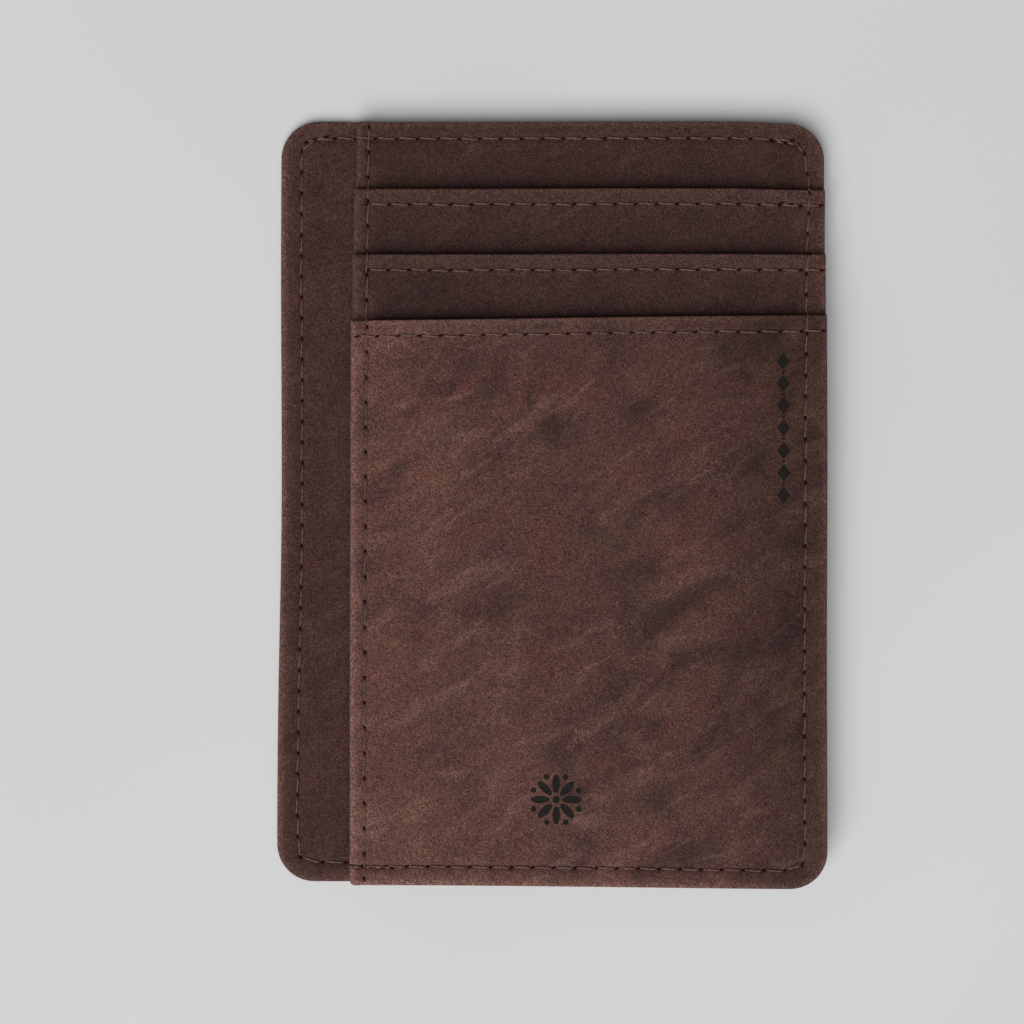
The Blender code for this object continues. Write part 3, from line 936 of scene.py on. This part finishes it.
def mark_outlines():
    """Two plain pressed ornaments: an eight-petal rosette, and a column of lozenges and dots."""
    shapes = []
    rosette_x, rosette_y, petals = 0.5, -43.3, 8
    petal_ring, dot_ring = 2.3, 3.55
    for i in range(petals):
        turn = 2 * math.pi * i / petals
        x, y = rosette_x + petal_ring * math.cos(turn), rosette_y + petal_ring * math.sin(turn)
        shapes.append(polygon(x, y, 1.35, 0.55, 20, turn))
    shapes.append(polygon(rosette_x, rosette_y, 0.55, 0.55, 16))
    for i in range(petals):
        turn = 2 * math.pi * (i + 0.5) / petals
        x, y = rosette_x + dot_ring * math.cos(turn), rosette_y + dot_ring * math.sin(turn)
        shapes.append(polygon(x, y, 0.42, 0.42, 12))
    column_x, column_y, spacing = 33.6, 10.5, 3.2
    for i in range(-3, 4):
        shapes.append(polygon(column_x, column_y + i * spacing, 0.95, 1.25, 4))
    for i in range(-3, 3):
        shapes.append(polygon(column_x, column_y + (i + 0.5) * spacing, 0.22, 0.22, 10))
    return shapes


def press_marks(made, panel):
    """Cuts the ornaments into the leather as shallow dark recesses."""
    points, faces = [], []
    for shape in mark_outlines():
        flat = np.array(shape)
        floor = panel.upper(flat[:, 0], flat[:, 1]).min() - MARK_DEPTH
        count, first = len(flat), sum(len(p) for p in points)
        points.append(np.column_stack((flat, np.full(count, floor))))
        points.append(np.column_stack((flat, np.full(count, floor + 1.0))))
        faces.append([first + i for i in range(count)][::-1])
        faces.append([first + count + i for i in range(count)])
        for i in range(count):
            after = (i + 1) % count
            faces.append([first + i, first + after, first + count + after, first + count + i])
    cutter = mesh_object("mark_cutter", np.concatenate(points), faces, burnt_leather("burnt_mark"))
    orient(cutter)
    cutter.data.shade_flat()
    cut = made.modifiers.new("pressed_marks", "BOOLEAN")
    cut.operation, cut.solver, cut.object = "DIFFERENCE", "MANIFOLD", cutter
    cut.material_mode = "TRANSFER"
    bpy.context.view_layer.update()
    evaluated = made.evaluated_get(bpy.context.evaluated_depsgraph_get())
    mesh = bpy.data.meshes.new_from_object(evaluated)
    for vertex, painted_light in zip(mesh.vertices, mesh.attributes["painted_light"].data):
        if painted_light.value == 0:  # a vertex that the cut made
            x, y, _ = np.array(vertex.co) / MM
            painted_light.value = panel.painted_light_marks(x, y)
    mesh.set_sharp_from_angle(angle=math.radians(50))
    made.modifiers.clear()
    made.data = mesh
    bpy.data.objects.remove(cutter)


def build_edges():
    """The turned-in edges that close each pocket, seen as layers along the wallet's sides."""
    edge_skin = leather("leather_edge", 0.5, 0.3, (20, 20, 0))
    width = MARGIN_WIDTH - MARGIN_INSET
    corner = CORNER - MARGIN_INSET
    for name in SLOT_NAMES:
        (left, bottom, low), (right, mouth, high) = box_mm(f"{name}_margin")
        right, bottom = right - MARGIN_INSET, bottom + MARGIN_INSET
        start = left + SLOT_FOLD + FOLD_BLEND
        outline = [(start, bottom)]
        outline += arc(right - corner, bottom + corner, corner, -90, 0)
        outline += [(right, mouth - 0.4), (right - width, mouth - 0.4)]
        outline += arc(right - corner, bottom + corner, corner - width, 0, -90, 6)
        outline += [(start, bottom + width)]
        made = slab_object(f"edge_{name}", outline, low, high, edge_skin)
        piece(made, "leather", f"{name}_margin")
    (left, bottom, low), (right, top, high) = box_mm("cash_pocket_margin")
    right, bottom, top = right - MARGIN_INSET, bottom + MARGIN_INSET, top - MARGIN_INSET
    start = left + 0.6
    outline = [(start, bottom)]
    outline += arc(right - corner, bottom + corner, corner, -90, 0)
    outline += arc(right - corner, top - corner, corner, 0, 90)
    outline += [(start, top), (start, top - width)]
    outline += arc(right - corner, top - corner, corner - width, 90, 0, 6)
    outline += arc(right - corner, bottom + corner, corner - width, 0, -90, 6)
    outline += [(start, bottom + width)]
    made = slab_object("edge_cash_pocket", outline, low, high, edge_skin)
    piece(made, "leather", "cash_pocket_margin")
    for name in SLOT_NAMES[:2]:
        (left, bottom, low), (right, top, high) = box_mm(f"{name}_floor")
        outline = [(left, bottom), (right, bottom), (right, top), (left, top)]
        made = slab_object(f"floor_{name}", outline, low, high, edge_skin)
        piece(made, "leather", f"{name}_floor")


def build_inner_layers():
    """Shielding foils and the woven lining inside the two halves."""
    foil_skin, cloth_skin = foil("shield_foil"), woven("lining_weave")
    coarse = [(-60, 60, 2.0)]
    foils = (("foil_back", "back_shield", FOIL_CORNER), ("foil_front", "front_shield", 0.0))
    for name, node, left_corner in foils:
        panel = Panel(node, (left_corner, FOIL_CORNER, FOIL_CORNER, left_corner), flat=True)
        piece(panel_object(name, panel, foil_skin, coarse, coarse, (0.03,) * 4), "shield", node)
    panel = Panel("front_lining", (0.0, FOIL_CORNER, FOIL_CORNER, 0.0), flat=True)
    made = panel_object("cloth_lining", panel, cloth_skin, coarse, coarse, (0.05,) * 4)
    piece(made, "lining", "front_lining")


def build_threads():
    skin = sewing_thread("waxed_thread")
    edge = [SEAMS[name] for name in EDGE_SEAMS]
    rows = (
        ("stitches_edge_front", edge, front_height, 1, "perimeter_needle_thread"),
        ("stitches_edge_back", edge, back_height, -1, "perimeter_bobbin_thread"),
        ("stitches_mouth_front", [SEAMS["mouth"]], front_height, 1, "mouth_needle_thread"),
        ("stitches_mouth_back", [SEAMS["mouth"]], fold_under, -1, "mouth_bobbin_thread"),
        ("stitches_hem_1", [SEAMS["slot_1"], SEAMS["tack_3"]], front_height, 1, "slot_1_hem_thread"),
        ("stitches_hem_2", [SEAMS["slot_2"]], front_height, 1, "slot_2_hem_thread"),
        ("stitches_hem_front", [SEAMS["front"]], front_height, 1, "front_hem_thread"),
    )
    for name, seams, height, side, node in rows:
        piece(stitch_rows(name, seams, height, side, skin), "thread", node)
    for slot in SLOT_NAMES[:2]:
        seams, panel = [SEAMS[f"{slot}_floor"]], PANELS[slot]
        made = stitch_rows(f"stitches_floor_{slot}", seams, panel.upper, 1, skin)
        piece(made, "thread", f"{slot}_floor_thread")


# ---------------------------------------------------------------- floor, light, camera


def build_stage():
    mesh = bpy.data.meshes.new("floor")
    half = 1.5
    corners = [(-half, -half, 0), (half, -half, 0), (half, half, 0), (-half, half, 0)]
    mesh.from_pydata(corners, [], [(0, 1, 2, 3)])
    mesh.materials.append(floor_paint("floor_grey"))
    floor = bpy.data.objects.new("floor", mesh)
    bpy.context.scene.collection.objects.link(floor)


def build_light():
    """One wide softbox, nearly overhead, towards the wallet's lower left, and a faint fill."""
    scene = bpy.context.scene
    world = bpy.data.worlds.new("studio")
    world.use_nodes = True
    background = world.node_tree.nodes["Background"]
    background.inputs["Color"].default_value = (1, 1, 1, 1)
    background.inputs["Strength"].default_value = 0.14
    scene.world = world
    lamp = bpy.data.lights.new("softbox", "AREA")
    lamp.shape, lamp.size, lamp.size_y, lamp.energy = "RECTANGLE", 2.7, 3.2, 122
    made = bpy.data.objects.new("softbox", lamp)
    place = Vector((-0.67, -1.68, 2.55))
    made.location = place
    made.rotation_euler = (-place).to_track_quat("-Z", "Y").to_euler()
    scene.collection.objects.link(made)
    scene.view_settings.view_transform = "Standard"


def build_camera():
    """Straight down onto the wallet, which lies a little right of and above the picture's middle."""
    camera = bpy.data.cameras.new("camera")
    camera.lens, camera.sensor_width = 85, 36
    made = bpy.data.objects.new("camera", camera)
    made.location = (-5.9 * MM, -1.53 * MM, 0.3585)
    bpy.context.scene.collection.objects.link(made)
    bpy.context.scene.camera = made


build_camera()
build_stage()
build_light()
build_leather()
build_edges()
build_inner_layers()
build_threads()
